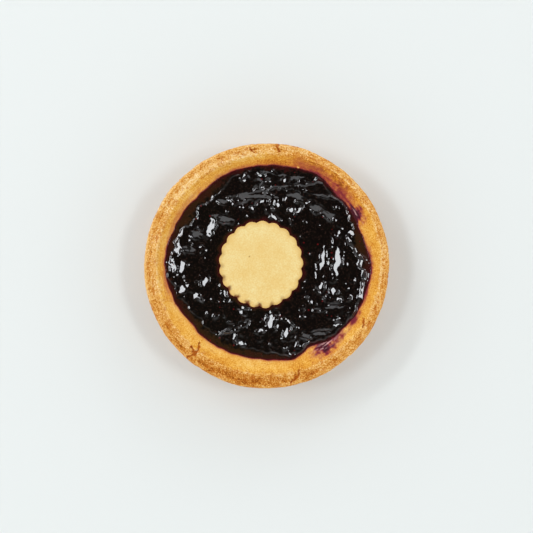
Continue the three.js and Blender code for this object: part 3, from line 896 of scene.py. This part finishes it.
def jam_skin(spots, angles, radii):
    """Height of the jam's skin, how thick the jam is, from 0 at its thin margins to 1, and how near it
    is to where it ends against the crust or the biscuit, where it is red."""
    flat = spots * (1, 1, 0)
    place = spots[:, :2]
    from_crust = jam_edge(angles) - radii
    from_biscuit = biscuit_gap(place)
    margin, mass, body = jam_lie(place)
    moat = smooth(from_biscuit + 1.4 * grain(flat, 2.5, 9), 0.4, 2.8)

    # Folds with ragged sides, and lumps between them, but not in the thin jam round the biscuit.
    ragged = place + np.stack([0.7 * grain(flat, 1.5, 10) + 1.4 * grain(flat, 3.5, 13),
                               0.7 * grain(flat, 1.5, 11) + 1.4 * grain(flat, 3.5, 14)], 1)
    cover, folds = folds_at(place, ragged)
    lumps = 0.09 * swirl(angles, radii, 4, 11, 1) + 0.1 * grain(flat, 3.4, 2) + 0.045 * grain(flat, 1.6, 3)
    lumps += 0.015 * grain(flat, 0.8, 4)
    lumps = lumps * restless_at(place) * (0.25 + 0.75 * mass * moat) + pips_at(place) * mass * moat
    ripple = 0.013 * grain(flat, 1.0, 17)
    clear = smooth(from_crust, 0.1, 1.2) * smooth(from_biscuit, 0.1, 1.2)
    height = lerp(body, folds + ripple + (1 - cover) * (body + lumps), clear)
    height += 0.05 * np.exp(-np.maximum(from_crust, 0) / 0.4)

    # The thick jam reaches out into the thin in dark fingers.
    fingers = 1.6 * grain(flat, 1.7, 12) + 1.6 * grain(flat, 0.9, 15)
    deep = smooth(from_crust + fingers, 0.4 * margin, margin + 1.4) * (0.15 + 0.85 * moat)
    rim = np.exp(-((from_crust / 0.5) ** 2)) + np.exp(-(((from_biscuit - 0.2) / 0.6) ** 2))
    return height, np.clip(np.maximum(deep, 0.8 * cover * mass), 0, 1), np.clip(rim, 0, 1)


def skin_point(angle, share):
    """A row of the skin, from the crust, share 0, to just under the biscuit's edge, share 1."""
    turn = np.radians(angle)
    outer = jam_edge(angle) + JAM_INTO_CRUST
    reach = BISCUIT_MIDDLE.x * np.cos(turn) + BISCUIT_MIDDLE.y * np.sin(turn)
    inner = reach + biscuit_outline(angle) - JAM_UNDER_BISCUIT
    return lerp(outer, inner, share), JAM_LEVEL


def shape_jam():
    lowest = CRUST_FLOOR + JAM_GAP
    rows = [("under", level_point, radius, lowest) for radius in (0, 20, WELL_RADIUS - FLOOR_ROUND)]
    rows += [("under", well_point, share) for share in reversed(shares(4))]
    rows += [("skin", skin_point, share) for share in [0] + shares(JAM_ROWS)]
    rows += [("under", level_point, radius, BISCUIT_MIDDLE.z + JAM_GAP) for radius in (12, 0)]
    form = turned(rows, JAM_STEPS)
    spots, angles, radii = measured(form)
    skin = part_values(form, rows, {"skin": 1})
    height, thick, rim = jam_skin(spots, angles, radii)
    spots[:, 2] = np.where(skin == 1, height, spots[:, 2])
    paint(form, "thick", thick * skin)
    paint(form, "rim", rim * skin)
    paint(form, "olive", np.clip(lobes(angles, OLIVE_LOBES) + 0.5 * grain(spots, 6, 18), 0, 1))
    move_to(form, spots)
    return form


# Set berry jam: almost black where it is deep, wine red or brown where it is thin over the crust, and
# wet all over.
berry_jam, tree = new_material("set_berry_jam")
spot = add(tree, "TexCoord").outputs["Object"]
thick = add(tree, "Attribute", attribute_name="thick").outputs["Fac"]
olive = add(tree, "Attribute", attribute_name="olive").outputs["Fac"]
rim = add(tree, "Attribute", attribute_name="rim").outputs["Fac"]
PULP = 2.5 * MM                         # shreds of fruit that tint the jam
pulp = add(tree, "TexNoise", {"Vector": spot, "Scale": 1 / PULP, "Detail": 3.0, "Roughness": 0.6})
shade = add(tree, "MapRange", {"Value": pulp.outputs["Fac"], "From Min": 0.3, "From Max": 0.7,
                               "To Min": -0.22, "To Max": 0.18})
depth = add(tree, "Math", {0: thick, 1: shade.outputs["Result"]}, operation="ADD",
            use_clamp=True).outputs["Value"]
wine = add(tree, "ValToRGB", {"Fac": depth}, stops=[
    (0.0, "#2e0a09"), (0.25, "#220a07"), (0.5, "#150905"), (0.8, "#0b0603"),
    (1.0, "#070302")]).outputs["Color"]
brown = add(tree, "ValToRGB", {"Fac": depth}, stops=[
    (0.0, "#2d1a08"), (0.25, "#291a08"), (0.5, "#191005"), (0.8, "#0b0703"),
    (1.0, "#070402")]).outputs["Color"]
body = add(tree, "Mix", {0: olive, 6: wine, 7: brown}, data_type="RGBA")
rimmed = add(tree, "Mix", {0: rim, 6: body.outputs[2], 7: colour("#400a0e")}, data_type="RGBA")

# Bits of pulp near the skin show through dull brown, and here and there a shred of skin shows red.
BITS = 0.6 * MM
bits = add(tree, "TexNoise", {"Vector": spot, "Scale": 1 / BITS, "Detail": 1.0})
bits = add(tree, "MapRange", {"Value": bits.outputs["Fac"], "From Min": 0.58, "From Max": 0.72,
                              "To Min": 0.0, "To Max": 0.75})
pulpy = add(tree, "Mix", {0: bits.outputs["Result"], 6: rimmed.outputs[2], 7: colour("#33211a")},
            data_type="RGBA")
SHRED = 2.1 * MM                        # from one place for a shred to the next
SHRED_SHARE = 0.1                       # of those places that have one
shreds = add(tree, "TexVoronoi", {"Vector": spot, "Scale": 1 / SHRED})
near = add(tree, "MapRange", {"Value": shreds.outputs["Distance"], "From Min": 0.1, "From Max": 0.24,
                              "To Min": 1.0, "To Max": 0.0})
chance = add(tree, "SeparateColor", {"Color": shreds.outputs["Color"]}).outputs["Red"]
chosen = add(tree, "Math", {0: chance, 1: 1 - SHRED_SHARE}, operation="GREATER_THAN")
fleck = add(tree, "Math", {0: near.outputs["Result"], 1: chosen.outputs["Value"]}, operation="MULTIPLY")
flecked = add(tree, "Mix", {0: fleck.outputs["Value"], 6: pulpy.outputs[2], 7: colour("#560c0e")},
              data_type="RGBA")
jam_shader = add(tree, "BsdfPrincipled", {"Base Color": flecked.outputs[2], "Roughness": 0.05, "IOR": 1.55})
add(tree, "OutputMaterial", {"Surface": jam_shader.outputs["BSDF"]})

finished("berry_jam", shape_jam(), berry_jam, "filling")
